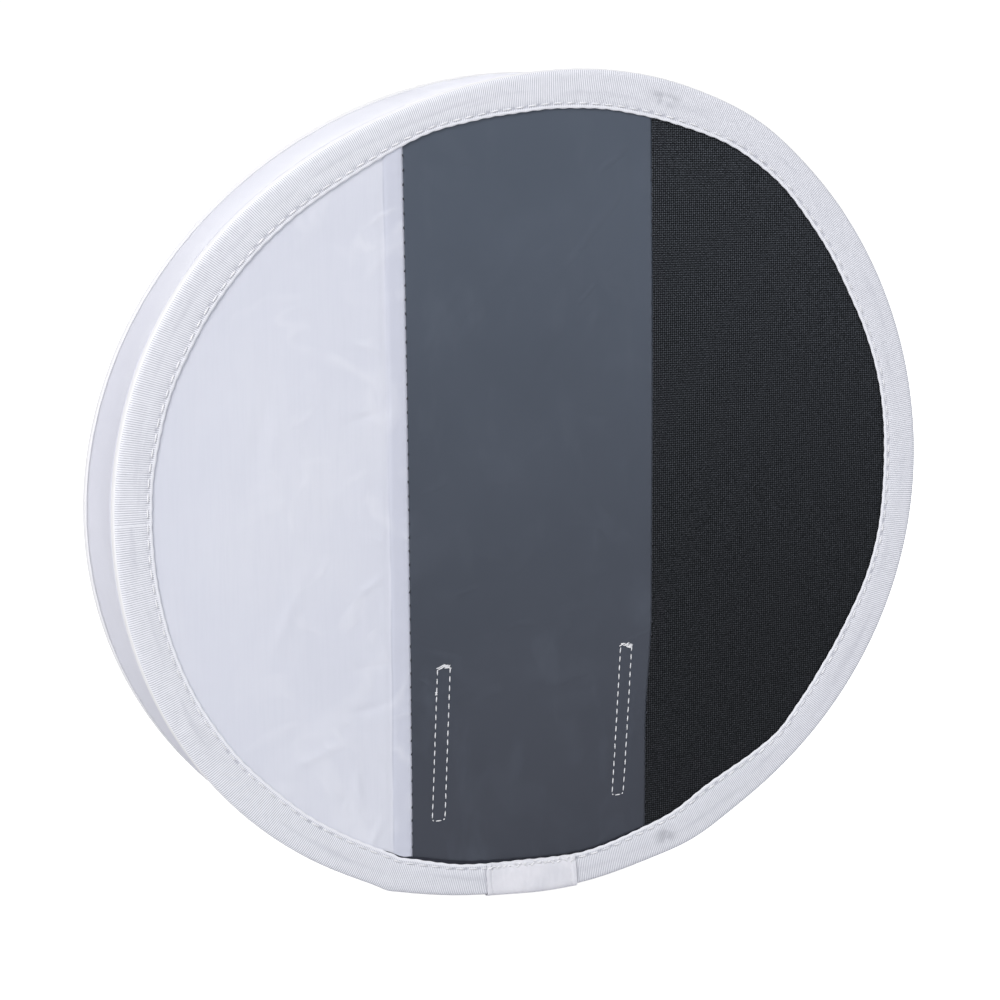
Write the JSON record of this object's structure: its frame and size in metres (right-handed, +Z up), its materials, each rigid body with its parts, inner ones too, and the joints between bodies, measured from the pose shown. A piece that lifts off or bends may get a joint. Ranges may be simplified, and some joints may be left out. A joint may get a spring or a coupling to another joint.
{
  "type": "pop-up flash diffuser",
  "caption": "Round collapsible fabric drum on spring hoops: white, grey and black balance target on one face, diffuser on the other, slot for a flash head.",
  "frame": {"origin": "centre of the flash slot's mouth, at the foot of the drum, midway between the two hoops", "axes": "+X right when the target face is looked at, +Y from the target face to the diffuser face, +Z up"},
  "size_m": [0.3076, 0.0442, 0.2929],
  "materials": {
    "spring_steel": "bright blued spring band",
    "crimp_steel": "zinc-plated sleeve",
    "binding_tape": "ribbed polyester grosgrain",
    "white_thread": "spun polyester sewing thread",
    "dark_thread": "spun polyester sewing thread",
    "white_nylon": "smooth white nylon",
    "grey_coated_nylon": "coated neutral grey nylon, low sheen",
    "black_oxford": "matt black plain-weave oxford",
    "silver_lining": "dark fabric with a silver coating on the drum's side",
    "black_elastic": "ribbed woven elastic",
    "diffuser_nylon": "translucent white ripstop nylon",
    "gusset_nylon": "smooth white nylon",
    "hem_tape": "folded white tape",
    "satin_label": "blank white satin"
  },
  "bodies": {
    "target_side": {"rear_hoop": "spring_steel", "rear_hoop_crimp": "crimp_steel", "rear_binding_tape": "binding_tape", "rear_binding_thread": "white_thread", "white_strip": "white_nylon", "grey_strip": "grey_coated_nylon", "black_strip": "black_oxford", "target_lining": "silver_lining", "white_grey_seam_thread": "dark_thread", "grey_black_seam_thread": "dark_thread", "flash_strap": "black_elastic", "strap_thread_left": "white_thread", "strap_thread_right": "white_thread", "label_patch": "satin_label", "label_thread": "white_thread", "gusset_band": "gusset_nylon", "slot_hem_left": "hem_tape", "slot_hem_right": "hem_tape"},
    "diffuser_side": {"front_hoop": "spring_steel", "front_hoop_crimp": "crimp_steel", "front_binding_tape": "binding_tape", "front_binding_thread": "white_thread", "diffuser_panel": "diffuser_nylon"}
  },
  "joints": [
    {"name": "drum_flatten", "type": "slide", "parent": "target_side", "child": "diffuser_side", "axis": [0, -1, 0], "range_m": [0, 0.03], "deforming": ["gusset_band", "slot_hem_left", "slot_hem_right"]}
  ]
}
